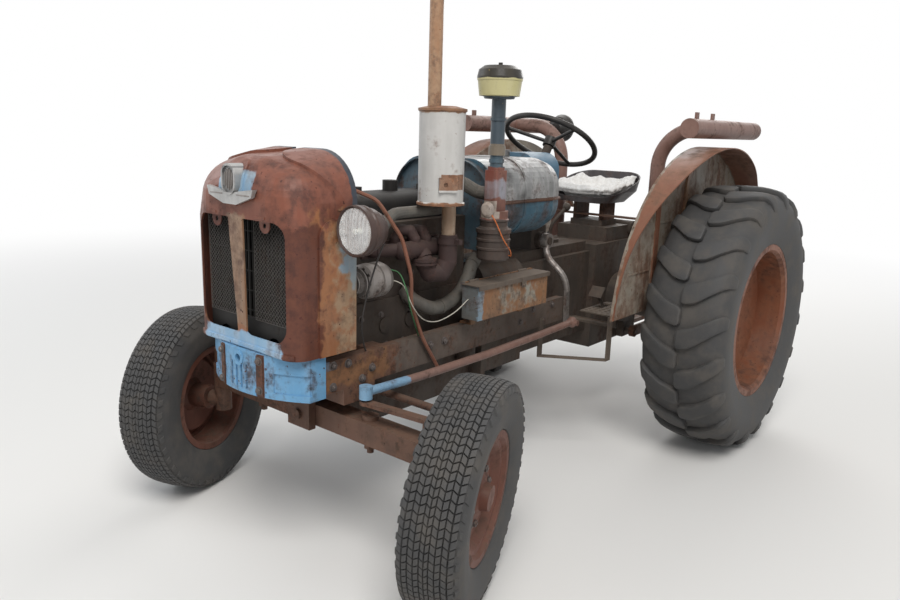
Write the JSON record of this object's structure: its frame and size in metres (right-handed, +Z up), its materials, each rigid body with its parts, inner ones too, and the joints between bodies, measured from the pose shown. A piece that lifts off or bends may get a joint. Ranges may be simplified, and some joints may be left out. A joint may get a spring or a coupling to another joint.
{
  "type": "vintage farm tractor",
  "caption": "Mid-size vintage farm tractor with an open engine, upright exhaust, steerable front wheels, rear fenders and a rear lift linkage.",
  "frame": {"origin": "middle of the bounding box, on the ground", "axes": "+Z up, the tractor faces -Y, +X is its left side"},
  "size_m": [1.976, 3.3879, 2.26],
  "materials": {
    "engine_paint": "oily, worn",
    "rusty_iron": "rusty",
    "brown_frame": "faded red-brown, rusty",
    "faded_blue": "faded light blue",
    "nose_paint": "red-brown, weathered",
    "aluminium_paint": "weathered silver",
    "raw_steel": "worn",
    "rim_red": "faded red",
    "tyre": "dusty",
    "black_plastic": "matt",
    "lamp_glass": "clear, ribbed",
    "fleece": "white pile",
    "bowl_yellow": "yellowed",
    "pale_fender": "faded, chalky"
  },
  "bodies": {
    "chassis": {"engine_block": "engine_paint", "rocker_cover": "engine_paint", "exhaust_manifold": "rusty_iron", "exhaust_stack": "aluminium_paint", "intake_pipe": "faded_blue", "radiator": "engine_paint", "fan": "engine_paint", "alternator": "raw_steel", "nose_shell": "nose_paint", "nose_casting": "faded_blue", "badge": "aluminium_paint", "headlamps": "brown_frame", "headlamp_lenses": "lamp_glass", "overflow_pipe": "brown_frame", "side_rails": "brown_frame", "front_axle": "brown_frame", "steering_column": "engine_paint", "gearbox_housing": "engine_paint", "rear_axle_housing": "engine_paint", "lift_cover": "engine_paint", "fuel_tank": "faded_blue", "bulkhead": "faded_blue", "dash_cowl": "faded_blue", "air_cleaner": "rusty_iron", "precleaner": "bowl_yellow", "toolbox": "brown_frame", "footplates": "rusty_iron", "fenders": "pale_fender", "seat_pan": "rusty_iron", "seat_bracket": "rusty_iron", "seat_fleece": "fleece", "pipe_frame": "brown_frame", "work_lamp": "black_plastic", "drawbar": "rusty_iron", "controls": "engine_paint"},
    "knuckle_left": {"knuckle_left": "brown_frame"},
    "knuckle_right": {"knuckle_right": "brown_frame"},
    "track_rod": {"track_rod": "rusty_iron"},
    "drop_arm": {"drop_arm": "raw_steel"},
    "drag_link": {"drag_link": "raw_steel"},
    "steering_wheel": {"steering_wheel": "black_plastic"},
    "wheel_front_left": {"front_tyre_left": "tyre", "front_rim_left": "rim_red"},
    "wheel_front_right": {"front_tyre_right": "tyre", "front_rim_right": "rim_red"},
    "wheel_rear_left": {"rear_tyre_left": "tyre", "rear_rim_left": "rim_red"},
    "wheel_rear_right": {"rear_tyre_right": "tyre", "rear_rim_right": "rim_red"},
    "toolbox_lid": {"toolbox_lid": "raw_steel"},
    "lift_arms": {"lift_arms": "rusty_iron"},
    "lift_rods": {"lift_rods": "rusty_iron"},
    "lower_links": {"lower_links": "rusty_iron"}
  },
  "joints": [
    {"name": "steer_left", "type": "hinge", "parent": "chassis", "child": "knuckle_left", "pos_m": [0.58, -1.272, 0.48], "axis": [0, 0, 1], "range_deg": [-60, 20]},
    {"name": "steer_right", "type": "hinge", "parent": "chassis", "child": "knuckle_right", "pos_m": [-0.58, -1.272, 0.48], "axis": [0, 0, 1], "range_deg": [-60, 20]},
    {"name": "track_rod_pivot", "type": "hinge", "parent": "knuckle_left", "child": "track_rod", "pos_m": [0.52397, -1.12213, 0.575], "axis": [0, 0, 1], "range_deg": [-20, 60]},
    {"name": "drop_arm_pivot", "type": "hinge", "parent": "chassis", "child": "drop_arm", "pos_m": [0.13, 0.04, 1.02], "axis": [1, 0, 0], "range_deg": [-15.8, 47.4]},
    {"name": "drag_link_pivot", "type": "hinge", "parent": "drop_arm", "child": "drag_link", "pos_m": [0.29, 0.08, 0.64], "axis": [0.9987, 0, -0.0506], "range_deg": [-45, 15]},
    {"name": "steering_wheel_turn", "type": "hinge", "parent": "chassis", "child": "steering_wheel", "pos_m": [0, 0.253, 1.482], "axis": [0, 0.515, 0.8572], "range_deg": [-720, 240]},
    {"name": "front_left_spin", "type": "hinge", "parent": "knuckle_left", "child": "wheel_front_left", "pos_m": [0.69708, -1.22822, 0.38226], "axis": [0.9344, 0.3494, -0.0698], "continuous": true},
    {"name": "front_right_spin", "type": "hinge", "parent": "knuckle_right", "child": "wheel_front_right", "pos_m": [-0.69708, -1.31578, 0.38187], "axis": [-0.9364, -0.3501, -0.0262], "continuous": true},
    {"name": "rear_left_spin", "type": "hinge", "parent": "chassis", "child": "wheel_rear_left", "pos_m": [0.794, 0.76, 0.65], "axis": [1, 0, 0], "continuous": true},
    {"name": "rear_right_spin", "type": "hinge", "parent": "chassis", "child": "wheel_rear_right", "pos_m": [-0.794, 0.76, 0.65], "axis": [1, 0, 0], "continuous": true},
    {"name": "toolbox_lid_hinge", "type": "hinge", "parent": "chassis", "child": "toolbox_lid", "pos_m": [0.262, -0.503, 0.938], "axis": [0, -1, 0], "range_deg": [0, 65]},
    {"name": "lift_arms_turn", "type": "hinge", "parent": "chassis", "child": "lift_arms", "pos_m": [0, 0.91, 1.01], "axis": [1, 0, 0], "range_deg": [-15, 40]},
    {"name": "lift_rods_pivot", "type": "hinge", "parent": "lift_arms", "child": "lift_rods", "pos_m": [0, 1.1741, 0.95386], "axis": [1, 0, 0], "range_deg": [-40, 15]},
    {"name": "lower_links_pivot", "type": "hinge", "parent": "chassis", "child": "lower_links", "pos_m": [0, 0.825, 0.45], "axis": [1, 0, 0], "range_deg": [-12, 30]}
  ],
  "couplings": [
    {"joint": "steer_right", "follows": "steer_left", "ratio": 1},
    {"joint": "track_rod_pivot", "follows": "steer_left", "ratio": -1},
    {"joint": "drop_arm_pivot", "follows": "steer_left", "ratio": -0.79},
    {"joint": "drag_link_pivot", "follows": "steer_left", "ratio": 0.75},
    {"joint": "steering_wheel_turn", "follows": "steer_left", "ratio": 12},
    {"joint": "lift_rods_pivot", "follows": "lift_arms_turn", "ratio": -1},
    {"joint": "lower_links_pivot", "follows": "lift_arms_turn", "ratio": 0.7}
  ]
}
